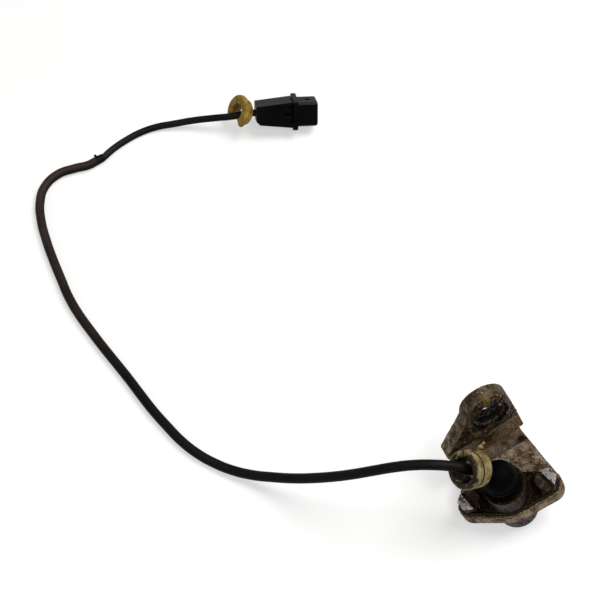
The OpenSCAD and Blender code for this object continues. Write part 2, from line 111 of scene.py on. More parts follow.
def copyNode(node, name, flatten=False):  # own mesh of a CAD node, merged to one skin
    pickOnly(frame["nodes"][node])
    bpy.ops.object.duplicate()
    piece = bpy.context.object
    piece.name = piece.data.name = name
    del piece["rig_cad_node"], piece["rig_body"]
    bpy.ops.object.parent_clear(type="CLEAR_KEEP_TRANSFORM")
    bpy.ops.object.mode_set(mode="EDIT")
    bpy.ops.mesh.select_all(action="SELECT")
    bpy.ops.mesh.remove_doubles(threshold=meshForm["merge"] * mm)
    if flatten:  # one face for each flat side, so that a bevel runs clean
        bpy.ops.mesh.dissolve_limited(angle_limit=math.radians(meshForm["flat"]))
    bpy.ops.object.mode_set(mode="OBJECT")
    return piece


def softSkin(piece, voxel, soften):  # even skin whose edges are rounded as moulded or cast
    pickOnly(piece)
    piece.data.remesh_voxel_size = voxel
    bpy.ops.object.voxel_remesh()
    applyModifier(piece, "SMOOTH", factor=0.5, iterations=soften)


def roughSkin(piece, name, grain, depth, group=""):
    texture = bpy.data.textures.new(name, "CLOUDS")
    texture.noise_scale = grain
    applyModifier(piece, "DISPLACE", texture=texture, texture_coords="LOCAL", strength=depth, mid_level=0.5,
                  vertex_group=group)


def joinParts(parts, name):  # primitives joined to one piece, at the origin
    pickOnly(parts[-1])
    for part in parts:
        part.select_set(True)
    bpy.ops.object.join()
    piece = bpy.context.object
    piece.name = piece.data.name = name
    bpy.ops.object.transform_apply(location=True, rotation=True, scale=True)
    return piece


def finishPiece(piece, material, slot, *nodes, angle=60):
    piece.data.materials.clear()
    piece.data.materials.append(material)
    if piece.type == "MESH":
        pickOnly(piece)
        bpy.ops.object.shade_smooth_by_angle(angle=math.radians(angle))
    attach(piece, "root")
    if nodes:
        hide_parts(*nodes)
    print("made", piece.name)
    return piece


def softCopy(node, name, form, material, slot):  # a moulding made from its solid, with rounded edges
    piece = copyNode(node, name)
    softSkin(piece, form["voxel"], form["soften"])
    return finishPiece(piece, material, slot, node)


# Camera, where the photograph was taken
cameraPlace = {"target": (-93.2, 104.0, 0.0), "elevation": 58.0, "distance": 766.0, "lens": 90.0, "sensor": 36.0,
               "clip": (0.01, 20)}
rise = math.radians(cameraPlace["elevation"])
eye = Vector(cameraPlace["target"]) + cameraPlace["distance"] * Vector((0, -math.cos(rise), math.sin(rise)))
bpy.ops.object.camera_add(location=eye * mm, rotation=(math.pi / 2 - rise, 0, 0))
camera = bpy.context.object
camera.data.lens, camera.data.sensor_width = cameraPlace["lens"], cameraPlace["sensor"]
camera.data.clip_start, camera.data.clip_end = cameraPlace["clip"]
bpy.context.scene.camera = camera
bpy.context.scene.view_settings.view_transform = "Standard"
print("camera set")

# Cords: route points in millimetres, the same as the solids follow
cordForm = {"sides": 6, "steps": 8}  # how finely a cord is drawn, round it and between its points
sheath = {
    "diameter": 4.8, "length": 368.6,
    "route": [
        (-10.781, -13, 41.018), (-16.651, -13, 44.830),
        (-26, -13, 48.6), (-34.5, -12.8, 49.6), (-43, -12.2, 48.1), (-51.5, -11.4, 44.3), (-60.5, -10.6, 39),
        (-69.5, -9.5, 33), (-78.5, -7.8, 26.8), (-87.5, -5.6, 20.7), (-96.5, -3, 14.9), (-106, 0, 9.8),
        (-115.5, 3, 5.8), (-125, 6.5, 3.5), (-134, 10.8, 2.6), (-142.5, 16, 2.6), (-150.5, 22.8, 2.6),
        (-157.5, 30.5, 2.6), (-164.5, 38.8, 2.6), (-171, 47.5, 2.6), (-177.5, 56.5, 2.6), (-184.5, 65.7, 2.6),
        (-191.5, 74.8, 2.6), (-198.2, 84, 2.6), (-205, 93.8, 2.6), (-211, 104.2, 2.6), (-216, 115.5, 2.6),
        (-221, 127.2, 2.6), (-225.5, 139, 2.6), (-229.3, 151.5, 2.6), (-231, 163.5, 2.6), (-229.5, 173.5, 2.6),
        (-223, 182, 2.6), (-214.6, 185.8, 2.6), (-207, 188.2, 2.6), (-203.2, 190.8, 2.6),
    ],
}
thinLead = {
    "diameter": 3.8, "length": 100.8,
    "route": [
        (-203.2, 190.8, 2.6), (-199.4, 193.4, 2.6), (-196.6, 197, 2.4), (-193.2, 200.9, 2.1), (-188.8, 204.9, 2),
        (-181, 210.5, 2), (-172.5, 214.1, 2.4), (-162, 215.5, 3.8), (-151, 215.8, 6.4), (-139.5, 215, 9.4),
        (-128.5, 214.4, 11.9), (-122.36, 215.579, 12.589), (-112.44, 216.621, 11.891),
    ],
}


def layCord(name, facts):
    line = bpy.data.curves.new(name, "CURVE")
    line.dimensions = "3D"
    line.bevel_depth, line.bevel_resolution = facts["diameter"] / 2 * mm, cordForm["sides"]
    line.resolution_u = cordForm["steps"]
    line.use_fill_caps = True
    spline = line.splines.new("BEZIER")
    spline.bezier_points.add(len(facts["route"]) - 1)
    for knot, point in zip(spline.bezier_points, facts["route"]):
        knot.co = Vector(point) * mm
        knot.handle_left_type = knot.handle_right_type = "AUTO"
    cord = bpy.data.objects.new(name, line)
    bpy.context.scene.collection.objects.link(cord)
    return cord


sheathCord = layCord("sheathedCable", sheath)
leadCord = layCord("thinLead", thinLead)
print("cords laid")

# Frames of the bracket's seat and of its arm, for patterns and dirt that follow them
seat = {"place": (3.36, -13.0, 17.958), "lean": 21.0, "swing": 7.0, "armTurn": 18.0, "armSet": 23.0, "screws": 36.5}
seatTurn = Matrix.Rotation(math.radians(-seat["lean"]), 3, "Y") @ Matrix.Rotation(math.radians(seat["swing"]), 3, "Z")
armTurn = seatTurn @ Matrix.Rotation(math.radians(seat["armTurn"]), 3, "Z")
seatUp = seatTurn @ Vector((0, 0, 1))
armFront = armTurn @ Vector((0, -1, 0))


def atSeat(x, y, z):  # a point given on the seat, in metres in the row frame
    return (Vector(seat["place"]) + seatTurn @ Vector((x, y, z))) * mm


def atArm(x, y, z):  # a point on the arm: along it, up it, out of its front
    return (Vector(seat["place"]) + armTurn @ Vector((x, seat["armSet"] - z, y))) * mm


# Sand-cast aluminium alloy: brown-grey matt skin with fine dark pits, tan grime, wet black oil round the hole
castLook = {
    "skin": 0.7, "pit": 0.9, "stain": 5.0, "film": 6.0, "speck": 1.3,  # sizes of the patterns
    "skinDepth": 0.18, "pitDepth": 0.35,
    "topFrom": 28.0, "topFull": 38.0,  # heights over which the arm turns darker
    "wallFrom": 4.0, "wallFull": 8.0, "wallTop": 19.0, "wallEnd": 22.0,  # heights of the earth on the wall
    "foreFrom": -3.0, "foreFull": -1.5,  # earth stays on the front
    "footOut": 2.0, "footEdge": 1.1, "footCore": 0.4,  # painted shade line along the wall's foot
    "padLow": 20.9, "oilBelow": 1.4, "oilAbove": 0.4, "creaseEdge": 1.5, "creaseCore": 0.5,  # raised pad on the arm; a painted shade line runs under its lower edge
    "frontFrom": -0.5, "frontFull": -0.1,
    "hole": (11.4, 33.0), "oilRadius": 9.2, "oilOuter": 1.2, "oilInner": 0.6, "oilWave": 2.0,
    "soilCore": 3,  # a spot of soil is full within this part of its reach
}
soilSpots = [  # place on the arm, reach in mm, shade, strength
    {"at": (8.5, 45.2, -2.5), "reach": 6.5, "shade": "#1b120a", "most": 0.9},
    {"at": (14.5, 45.2, -1.5), "reach": 5.0, "shade": "#6f5730", "most": 0.4},
    {"at": (18.5, 1.0, 1.2), "reach": 4.5, "shade": "#120b06", "most": 0.95},
    {"at": (20.0, 5.5, 0.0), "reach": 4.0, "shade": "#7a4a1e", "most": 0.75},
    {"at": (3.0, 10.0, -0.6), "reach": 8.0, "shade": "#6d5638", "most": 0.6},
    {"at": (5.0, 16.5, 0.0), "reach": 9.0, "shade": "#1b120a", "most": 0.9},
]


def makeCastAlloy():
    material, tree, place = startMaterial("sandCastAluminium")
    shape = addNode(tree, "NewGeometry")
    skin = addNode(tree, "TexNoise", {"Vector": place, "Scale": 1 / (castLook["skin"] * mm), "Detail": 4.0,
                                      "Roughness": 0.6})
    pit = addNode(tree, "TexNoise", {"Vector": place, "Scale": 1 / (castLook["pit"] * mm), "Detail": 3.0,
                                     "Roughness": 0.65})
    stain = addNode(tree, "TexNoise", {"Vector": place, "Scale": 1 / (castLook["stain"] * mm), "Detail": 6.0,
                                       "Roughness": 0.65})
    film = addNode(tree, "TexNoise", {"Vector": place, "Scale": 1 / (castLook["film"] * mm), "Detail": 7.0,
                                      "Roughness": 0.7, "Distortion": 0.6})
    speck = addNode(tree, "TexNoise", {"Vector": place, "Scale": 1 / (castLook["speck"] * mm), "Detail": 2.0,
                                       "Roughness": 0.6})
    bare = addNode(tree, "ValToRGB", {"Fac": stain}, stops=[
        (0.38, linear("#33261a")), (0.46, linear("#5f5144")), (0.57, linear("#837565")), (0.67, linear("#9c8f7e"))])
    upward = addNode(tree, "VectorMath", {0: shape.outputs["Normal"], 1: seatUp}, operation="DOT_PRODUCT")
    lying = addNode(tree, "MapRange", {"Value": upward, "From Min": 0.3, "From Max": 0.75, "To Min": 0.35})
    pits = addNode(tree, "MapRange", {"Value": pit, "From Min": 0.48, "From Max": 0.4, "To Max": 0.8})
    pitted = addNode(tree, "Math", {0: pits, 1: lying}, operation="MULTIPLY")
    # in each colour mix, 0 is the share of 7 over 6
    worn = addNode(tree, "Mix", {0: pitted, 6: bare, 7: linear("#21180f")}, data_type="RGBA")
    specks = addNode(tree, "MapRange", {"Value": speck, "From Min": 0.58, "From Max": 0.68, "To Max": 0.75})
    tan = addNode(tree, "Math", {0: specks, 1: lying}, operation="MULTIPLY")
    dusty = addNode(tree, "Mix", {0: tan, 6: worn, 7: linear("#94805a")}, data_type="RGBA")
    # the arm is darker towards its top; earth lies on the wall under its pad, with a painted shade line along the foot
    lift = addNode(tree, "VectorMath", {0: place, 1: atSeat(0, 0, 0)}, operation="SUBTRACT")
    height = addNode(tree, "VectorMath", {0: lift, 1: seatUp}, operation="DOT_PRODUCT")
    fromArm = addNode(tree, "VectorMath", {0: place, 1: atArm(0, 0, 0)}, operation="SUBTRACT")
    out = addNode(tree, "VectorMath", {0: fromArm, 1: armFront}, operation="DOT_PRODUCT")
    high = addNode(tree, "MapRange", {"Value": height, "From Min": castLook["topFrom"] * mm,
                                      "From Max": castLook["topFull"] * mm, "To Max": 0.63})
    topped = addNode(tree, "Mix", {0: high, 6: dusty, 7: linear("#2b2014")}, data_type="RGBA")
    wallLow = addNode(tree, "MapRange", {"Value": height, "From Min": castLook["wallFrom"] * mm,
                                         "From Max": castLook["wallFull"] * mm})
    wallHigh = addNode(tree, "MapRange", {"Value": height, "From Min": castLook["wallEnd"] * mm,
                                          "From Max": castLook["wallTop"] * mm})
    wall = addNode(tree, "Math", {0: wallLow, 1: wallHigh}, operation="MULTIPLY")
    wallFilm = addNode(tree, "MapRange", {"Value": film, "From Min": 0.38, "From Max": 0.6,
                                          "To Min": 0.97, "To Max": 0.6})
    fore = addNode(tree, "MapRange", {"Value": out, "From Min": castLook["foreFrom"] * mm,
                                      "From Max": castLook["foreFull"] * mm})
    wallFore = addNode(tree, "Math", {0: wall, 1: fore}, operation="MULTIPLY")
    wallDirt = addNode(tree, "Math", {0: wallFore, 1: wallFilm}, operation="MULTIPLY")
    earth = addNode(tree, "ValToRGB", {"Fac": pit}, stops=[
        (0.38, linear("#35281a")), (0.48, linear("#66513a")), (0.6, linear("#8c7654"))])
    walled = addNode(tree, "Mix", {0: wallDirt, 6: topped, 7: earth}, data_type="RGBA")
    # painted shade: a dark line in the crease along the wall's foot
    nearFoot = addNode(tree, "Math", {0: out, 1: castLook["footOut"] * mm}, operation="SUBTRACT")
    footGap = addNode(tree, "CombineXYZ", {"X": nearFoot, "Y": height})
    footWay = addNode(tree, "VectorMath", {0: footGap}, operation="LENGTH")
    foot = addNode(tree, "MapRange", {"Value": footWay, "From Min": castLook["footEdge"] * mm,
                                      "From Max": castLook["footCore"] * mm, "To Max": 0.7})
    footShaded = addNode(tree, "Mix", {0: foot, 6: walled, 7: linear("#241a10")}, data_type="RGBA")
    # oil over the arm's raised pad, black in and round the hole; painted shade along the pad's lower edge
    facing = addNode(tree, "VectorMath", {0: shape.outputs["Normal"], 1: armFront}, operation="DOT_PRODUCT")
    front = addNode(tree, "MapRange", {"Value": facing, "From Min": 0.55, "From Max": 0.8})
    proud = addNode(tree, "MapRange", {"Value": out, "From Min": castLook["frontFrom"] * mm,
                                       "From Max": castLook["frontFull"] * mm})
    ahead = addNode(tree, "Math", {0: front, 1: proud}, operation="MAXIMUM")
    armOnly = addNode(tree, "MapRange", {"Value": height,
                                         "From Min": (castLook["padLow"] - castLook["oilBelow"]) * mm,
                                         "From Max": (castLook["padLow"] + castLook["oilAbove"]) * mm})
    oily = addNode(tree, "Math", {0: ahead, 1: armOnly}, operation="MULTIPLY")
    oil = addNode(tree, "ValToRGB", {"Fac": film}, stops=[
        (0.4, linear("#110b08")), (0.48, linear("#2f2114")), (0.55, linear("#44321c")), (0.66, linear("#735d3c"))])
    oiled = addNode(tree, "Mix", {0: oily, 6: footShaded, 7: oil}, data_type="RGBA")
    fromHole = addNode(tree, "VectorMath", {0: place, 1: atArm(*castLook["hole"], 0)}, operation="SUBTRACT")
    crossed = addNode(tree, "VectorMath", {0: fromHole, 1: armFront}, operation="CROSS_PRODUCT")
    ring = addNode(tree, "VectorMath", {0: crossed}, operation="LENGTH")
    wavy = addNode(tree, "MapRange", {"Value": film, "To Min": -castLook["oilWave"] * mm,
                                      "To Max": castLook["oilWave"] * mm})
    reach = addNode(tree, "Math", {0: ring, 1: wavy}, operation="ADD")
    pool = addNode(tree, "MapRange", {"Value": reach,
                                      "From Min": (castLook["oilRadius"] + castLook["oilOuter"]) * mm,
                                      "From Max": (castLook["oilRadius"] - castLook["oilInner"]) * mm, "To Max": 0.97})
    drowned = addNode(tree, "Mix", {0: pool, 6: oiled, 7: linear("#0b0807")}, data_type="RGBA")
    # painted shade: a dark line under the pad's lower edge, on faces to the front
    fromPad = addNode(tree, "Math", {0: height, 1: castLook["padLow"] * mm}, operation="SUBTRACT")
    padGap = addNode(tree, "Math", {0: fromPad}, operation="ABSOLUTE")
    creaseShade = addNode(tree, "MapRange", {"Value": padGap, "From Min": castLook["creaseEdge"] * mm,
                                        "From Max": castLook["creaseCore"] * mm, "To Max": 0.9})
    padShadeMask = addNode(tree, "Math", {0: creaseShade, 1: ahead}, operation="MULTIPLY")
    soiled = addNode(tree, "Mix", {0: padShadeMask, 6: drowned, 7: linear("#0f0a06")}, data_type="RGBA")
    smut = addNode(tree, "MapRange", {"Value": film, "From Min": 0.42, "From Max": 0.52})
    for spot in soilSpots:
        gap = addNode(tree, "VectorMath", {0: place, 1: atArm(*spot["at"])}, operation="DISTANCE")
        near = addNode(tree, "MapRange", {"Value": gap, "From Min": spot["reach"] * mm,
                                          "From Max": spot["reach"] / castLook["soilCore"] * mm,
                                          "To Max": spot["most"]})
        blot = addNode(tree, "Math", {0: near, 1: smut}, operation="MULTIPLY")
        soiled = addNode(tree, "Mix", {0: blot, 6: soiled, 7: linear(spot["shade"])}, data_type="RGBA")
    fleck = addNode(tree, "MapRange", {"Value": speck, "From Min": 0.67, "From Max": 0.71})
    flecked = addNode(tree, "Mix", {0: fleck, 6: soiled, 7: linear("#a89a80")}, data_type="RGBA")
    wet = addNode(tree, "Math", {0: oily, 1: pool}, operation="MAXIMUM")
    slick = addNode(tree, "MapRange", {"Value": film, "From Min": 0.42, "From Max": 0.58,
                                       "To Min": 0.16, "To Max": 0.55})
    rough = addNode(tree, "MapRange", {"Value": wet, "To Min": 0.74, "To Max": slick})
    metal = addNode(tree, "MapRange", {"Value": wet, "To Min": 0.2, "To Max": 0.0})
    coarse = addNode(tree, "Bump", {"Strength": 0.5, "Distance": castLook["pitDepth"] * mm, "Height": pit})
    bump = addNode(tree, "Bump", {"Strength": 0.4, "Distance": castLook["skinDepth"] * mm, "Height": skin,
                                  "Normal": coarse})
    shader = addNode(tree, "BsdfPrincipled", {
        "Base Color": flecked, "Metallic": metal, "Roughness": rough, "Specular IOR Level": 0.3,
        "Specular Tint": linear("#c8a67e"), "Normal": bump})
    addNode(tree, "OutputMaterial", {"Surface": shader})
    return material


# Glass-filled nylon of the sensor: brown-black under wet oil, bluer and cleaner at the tip
nylonLook = {"film": 5.0, "grit": 0.8, "gritDepth": 0.15, "tipFrom": -5.0, "tipFull": -7.0}


def makeSensorPlastic():
    material, tree, place = startMaterial("glassFilledNylon")
    film = addNode(tree, "TexNoise", {"Vector": place, "Scale": 1 / (nylonLook["film"] * mm), "Detail": 6.0,
                                      "Roughness": 0.65})
    grit = addNode(tree, "TexNoise", {"Vector": place, "Scale": 1 / (nylonLook["grit"] * mm), "Detail": 3.0,
                                      "Roughness": 0.7})
    tone = addNode(tree, "ValToRGB", {"Fac": film}, stops=[
        (0.38, linear("#040302")), (0.52, linear("#0b0704")), (0.62, linear("#1b120a")), (0.72, linear("#382918"))])
    caught = addNode(tree, "MapRange", {"Value": grit, "From Min": 0.58, "From Max": 0.68, "To Max": 0.75})
    gritty = addNode(tree, "Mix", {0: caught, 6: tone, 7: linear("#57452c")}, data_type="RGBA")
    lift = addNode(tree, "VectorMath", {0: place, 1: atSeat(0, 0, 0)}, operation="SUBTRACT")
    height = addNode(tree, "VectorMath", {0: lift, 1: seatUp}, operation="DOT_PRODUCT")
    low = addNode(tree, "MapRange", {"Value": height, "From Min": nylonLook["tipFrom"] * mm,
                                     "From Max": nylonLook["tipFull"] * mm})
    tipped = addNode(tree, "Mix", {0: low, 6: gritty, 7: linear("#0f1116")}, data_type="RGBA")
    rough = addNode(tree, "MapRange", {"Value": film, "From Min": 0.35, "From Max": 0.65,
                                       "To Min": 0.32, "To Max": 0.6})
    bump = addNode(tree, "Bump", {"Strength": 0.4, "Distance": nylonLook["gritDepth"] * mm, "Height": grit})
    shader = addNode(tree, "BsdfPrincipled", {
        "Base Color": tipped, "Roughness": rough, "IOR": 1.5, "Specular IOR Level": 0.16,
        "Specular Tint": linear("#c8a67e"), "Normal": bump})
    addNode(tree, "OutputMaterial", {"Surface": shader})
    return material


# Zinc-plated steel screw: bright on the outer half of the head, brown dirt on the inner half and in the slot
screwLook = {"headTop": 7.2, "topFrom": 0.9, "topFull": 0.2, "slotTurn": -60.0, "slotHalf": 0.6,
             "dirt": 2.2, "fine": 0.5, "fineDepth": 0.1}


def makeScrewSteel():
    material, tree, place = startMaterial("zincPlatedSteel")
    dirt = addNode(tree, "TexNoise", {"Vector": place, "Scale": 1 / (screwLook["dirt"] * mm), "Detail": 5.0,
                                      "Roughness": 0.65})
    fine = addNode(tree, "TexNoise", {"Vector": place, "Scale": 1 / (screwLook["fine"] * mm), "Detail": 3.0})
    lift = addNode(tree, "VectorMath", {0: place, 1: atSeat(0, 0, 0)}, operation="SUBTRACT")
    height = addNode(tree, "VectorMath", {0: lift, 1: seatUp}, operation="DOT_PRODUCT")
    top = addNode(tree, "MapRange", {"Value": height,
                                     "From Min": (screwLook["headTop"] - screwLook["topFrom"]) * mm,
                                     "From Max": (screwLook["headTop"] - screwLook["topFull"]) * mm})
    slotSide = seatTurn @ Matrix.Rotation(math.radians(screwLook["slotTurn"] + 90), 3, "Z") @ Vector((1, 0, 0))
    across = addNode(tree, "VectorMath", {0: lift, 1: slotSide}, operation="DOT_PRODUCT")
    outward = addNode(tree, "Math", {0: across}, operation="ABSOLUTE")
    half = seat["screws"] / 2 * math.sin(math.radians(-screwLook["slotTurn"]))  # how far out the slots lie that way
    outer = addNode(tree, "MapRange", {"Value": outward,
                                       "From Min": (half - screwLook["slotHalf"]) * mm,
                                       "From Max": (half + screwLook["slotHalf"]) * mm, "To Min": 0.015})
    wiped = addNode(tree, "MapRange", {"Value": dirt, "From Min": 0.57, "From Max": 0.46})
    clean = addNode(tree, "Math", {0: outer, 1: wiped}, operation="MULTIPLY")
    bright = addNode(tree, "Math", {0: clean, 1: top}, operation="MULTIPLY")
    grime = addNode(tree, "ValToRGB", {"Fac": dirt}, stops=[
        (0.4, linear("#0b0805")), (0.52, linear("#251b12")), (0.66, linear("#54432f"))])
    tone = addNode(tree, "Mix", {0: bright, 6: grime, 7: linear("#d2cfca")}, data_type="RGBA")
    metal = addNode(tree, "MapRange", {"Value": bright, "To Min": 0.1, "To Max": 0.9})
    rough = addNode(tree, "MapRange", {"Value": bright, "To Min": 0.7, "To Max": 0.3})
    bump = addNode(tree, "Bump", {"Strength": 0.35, "Distance": screwLook["fineDepth"] * mm, "Height": fine})
    shader = addNode(tree, "BsdfPrincipled", {
        "Base Color": tone, "Metallic": metal, "Specular IOR Level": 0.06, "Roughness": rough, "Normal": bump})
    addNode(tree, "OutputMaterial", {"Surface": shader})
    return material


# Moulded rubber or plastic in one plain colour: slow mottling, fine moulded grain, a lighter colour where it faces up:
# dust, and on the connector also painted light on its top
def makeMoulded(name, tones, patch, grain, smooth, dull, depth, ior=1.5, gloss=0.5, dustAndTopLight=None):
    deep, mid, pale = tones
    material, tree, place = startMaterial(name)
    slow = addNode(tree, "TexNoise", {"Vector": place, "Scale": 1 / (patch * mm), "Detail": 5.0, "Roughness": 0.6})
    fine = addNode(tree, "TexNoise", {"Vector": place, "Scale": 1 / (grain * mm), "Detail": 2.0})
    colour = addNode(tree, "ValToRGB", {"Fac": slow}, stops=[
        (0.34, linear(deep)), (0.5, linear(mid)), (0.68, linear(pale))])
    if dustAndTopLight:
        shape = addNode(tree, "NewGeometry")
        tilt = addNode(tree, "SeparateXYZ", {"Vector": shape.outputs["Normal"]})
        level = addNode(tree, "MapRange", {"Value": tilt.outputs["Z"], "From Min": dustAndTopLight["from"],
                                           "From Max": dustAndTopLight["full"]})
        patchy = addNode(tree, "MapRange", {"Value": slow, "From Min": 0.3, "From Max": 0.62,
                                            "To Min": dustAndTopLight["least"]})
        film = addNode(tree, "Math", {0: level, 1: patchy}, operation="MULTIPLY")
        if "clean" in dustAndTopLight:  # cleaner towards the sensor
            spot = addNode(tree, "SeparateXYZ", {"Vector": place})
            reach = addNode(tree, "MapRange", {"Value": spot.outputs["X"], "From Min": dustAndTopLight["clean"] * mm,
                                               "From Max": dustAndTopLight["dusty"] * mm, "To Min": 0.12})
            film = addNode(tree, "Math", {0: film, 1: reach}, operation="MULTIPLY")
        colour = addNode(tree, "Mix", {0: film, 6: colour, 7: linear(dustAndTopLight["colour"])}, data_type="RGBA")
    rough = addNode(tree, "MapRange", {"Value": slow, "From Min": 0.35, "From Max": 0.65,
                                       "To Min": smooth, "To Max": dull})
    bump = addNode(tree, "Bump", {"Strength": 0.3, "Distance": depth * mm, "Height": fine})
    shader = addNode(tree, "BsdfPrincipled", {
        "Base Color": colour, "Roughness": rough, "IOR": ior, "Specular IOR Level": gloss, "Normal": bump})
    addNode(tree, "OutputMaterial", {"Surface": shader})
    return material


# Drawn or pressed metal: fine marks and slight tarnish
metalLook = {"fine": 0.3, "fineDepth": 0.03}


def makeMetal(name, clean, tarnish, patch, smooth, dull):
    material, tree, place = startMaterial(name)
    slow = addNode(tree, "TexNoise", {"Vector": place, "Scale": 1 / (patch * mm), "Detail": 4.0})
    fine = addNode(tree, "TexNoise", {"Vector": place, "Scale": 1 / (metalLook["fine"] * mm), "Detail": 2.0})
    tone = addNode(tree, "ValToRGB", {"Fac": slow}, stops=[(0.4, linear(clean)), (0.66, linear(tarnish))])
    rough = addNode(tree, "MapRange", {"Value": slow, "From Min": 0.35, "From Max": 0.65,
                                       "To Min": smooth, "To Max": dull})
    bump = addNode(tree, "Bump", {"Strength": 0.2, "Distance": metalLook["fineDepth"] * mm, "Height": fine})
    shader = addNode(tree, "BsdfPrincipled", {
        "Base Color": tone, "Metallic": 1.0, "Roughness": rough, "Normal": bump})
    addNode(tree, "OutputMaterial", {"Surface": shader})
    return material


# Cream silicone-like rubber: olive-cream outside, black oil inside the ring and on the face away from the boot,
# painted shade in the groove between its flanges
grommetLook = {
    "place": (-10.781, -13.0, 41.018), "way": 57.0, "off": 8.3, "tilt": (25.0, 6.0),  # where the ring sits
    "stain": 5.0, "smear": 2.6, "smearDepth": 0.14,
    "hole": 6.2, "holeEdge": 7.4, "faceFrom": 3.6, "faceFull": 5.6,  # oil inside it and on its outer face
    "groove": 0.95, "grooveEdge": 0.75, "grooveCore": 0.35,
}


def makeCreamRubber():
    material, tree, place = startMaterial("creamRubber")
    ringTurn = (Matrix.Rotation(math.radians(-grommetLook["way"]), 3, "Y")
                @ Matrix.Rotation(math.radians(grommetLook["tilt"][1]), 3, "Y")
                @ Matrix.Rotation(math.radians(grommetLook["tilt"][0]), 3, "X"))
    away = Matrix.Rotation(math.radians(-grommetLook["way"]), 3, "Y") @ Vector((0, 0, 1))
    centre = (Vector(grommetLook["place"]) + grommetLook["off"] * away) * mm
    axis = ringTurn @ Vector((0, 0, 1))
    slow = addNode(tree, "TexNoise", {"Vector": place, "Scale": 1 / (grommetLook["stain"] * mm), "Detail": 5.0,
                                      "Roughness": 0.6})
    smear = addNode(tree, "TexNoise", {"Vector": place, "Scale": 1 / (grommetLook["smear"] * mm), "Detail": 6.0,
                                       "Roughness": 0.7})
    tone = addNode(tree, "ValToRGB", {"Fac": slow}, stops=[
        (0.38, linear("#4b3d1a")), (0.48, linear("#6b5c33")), (0.62, linear("#887c5a"))])
    lift = addNode(tree, "VectorMath", {0: place, 1: centre}, operation="SUBTRACT")
    along = addNode(tree, "VectorMath", {0: lift, 1: axis}, operation="DOT_PRODUCT")
    crossed = addNode(tree, "VectorMath", {0: lift, 1: axis}, operation="CROSS_PRODUCT")
    radius = addNode(tree, "VectorMath", {0: crossed}, operation="LENGTH")
    inside = addNode(tree, "MapRange", {"Value": radius, "From Min": grommetLook["holeEdge"] * mm,
                                        "From Max": grommetLook["hole"] * mm})
    outer = addNode(tree, "MapRange", {"Value": along, "From Min": grommetLook["faceFrom"] * mm,
                                       "From Max": grommetLook["faceFull"] * mm})
    soiled = addNode(tree, "Math", {0: inside, 1: outer}, operation="MAXIMUM")
    soak = addNode(tree, "MapRange", {"Value": soiled, "To Min": 0.62, "To Max": 0.38})
    excess = addNode(tree, "Math", {0: smear, 1: soak}, operation="SUBTRACT")
    dirt = addNode(tree, "MapRange", {"Value": excess, "From Max": 0.06, "To Max": 0.94})
    stained = addNode(tree, "Mix", {0: dirt, 6: tone, 7: linear("#0d0906")}, data_type="RGBA")
    # painted shade: a dark band in the groove between the ring's two flanges
    fromGroove = addNode(tree, "Math", {0: along, 1: grommetLook["groove"] * mm}, operation="SUBTRACT")
    across = addNode(tree, "Math", {0: fromGroove}, operation="ABSOLUTE")
    groove = addNode(tree, "MapRange", {"Value": across, "From Min": grommetLook["grooveEdge"] * mm,
                                        "From Max": grommetLook["grooveCore"] * mm, "To Max": 0.9})
    stained = addNode(tree, "Mix", {0: groove, 6: stained, 7: linear("#120c06")}, data_type="RGBA")
    bump = addNode(tree, "Bump", {"Strength": 0.35, "Distance": grommetLook["smearDepth"] * mm, "Height": smear})
    shader = addNode(tree, "BsdfPrincipled", {
        "Base Color": stained, "Roughness": 0.5, "IOR": 1.45, "Specular IOR Level": 0.2, "Normal": bump})
    addNode(tree, "OutputMaterial", {"Surface": shader})
    return material


# Road grit stuck in old oil: tan, grey and black crumbs
gritLook = {"crumb": 0.9, "crumbDepth": 0.25}


def makeRoadGrit(name, stops, smooth, dull, gloss):
    material, tree, place = startMaterial(name)
    crumb = addNode(tree, "TexNoise", {"Vector": place, "Scale": 1 / (gritLook["crumb"] * mm), "Detail": 5.0,
                                       "Roughness": 0.75})
    tone = addNode(tree, "ValToRGB", {"Fac": crumb}, stops=[(at, linear(shade)) for at, shade in stops])
    rough = addNode(tree, "MapRange", {"Value": crumb, "From Min": 0.4, "From Max": 0.6,
                                       "To Min": smooth, "To Max": dull})
    bump = addNode(tree, "Bump", {"Strength": 0.7, "Distance": gritLook["crumbDepth"] * mm, "Height": crumb})
    shader = addNode(tree, "BsdfPrincipled", {
        "Base Color": tone, "Roughness": rough, "Specular IOR Level": gloss, "Normal": bump})
    addNode(tree, "OutputMaterial", {"Surface": shader})
    return material


castAlloy = makeCastAlloy()
sensorNylon = makeSensorPlastic()
screwSteel = makeScrewSteel()
creamRubber = makeCreamRubber()
roadGrit = makeRoadGrit("roadGrit", [(0.4, "#0f0a06"), (0.47, "#33261a"), (0.54, "#6f5b3a"), (0.64, "#a08c6c")],
                        smooth=0.4, dull=0.8, gloss=0.2)
oldGrease = makeRoadGrit("oldGrease", [(0.42, "#0a0705"), (0.54, "#1d140b"), (0.61, "#4a3820"), (0.69, "#8a7448")],
                         smooth=0.14, dull=0.45, gloss=0.35)
tanCrumbs = makeRoadGrit("tanCrumbs", [(0.35, "#5d4524"), (0.5, "#957a48"), (0.65, "#b9a888")],
                         smooth=0.5, dull=0.8, gloss=0.2)
bootRubber = makeMoulded("bootRubber", ("#020202", "#040404", "#080707"), patch=7, grain=0.5, smooth=0.5, dull=0.66,
                         depth=0.05, gloss=0.02)
cableTones = ("#050404", "#080607", "#0d0a0a")
cableDust = {"from": 0.3, "full": 0.95, "least": 0.3, "colour": "#3a302b", "clean": -180, "dusty": -228}
sheathRubber = makeMoulded("sheathRubber", cableTones, patch=30, grain=0.6, smooth=0.45, dull=0.6, depth=0.04,
                           gloss=0.08, dustAndTopLight=cableDust)
leadRubber = makeMoulded("leadRubber", cableTones, patch=20, grain=0.5, smooth=0.45, dull=0.6, depth=0.03,
                         gloss=0.08, dustAndTopLight=cableDust)
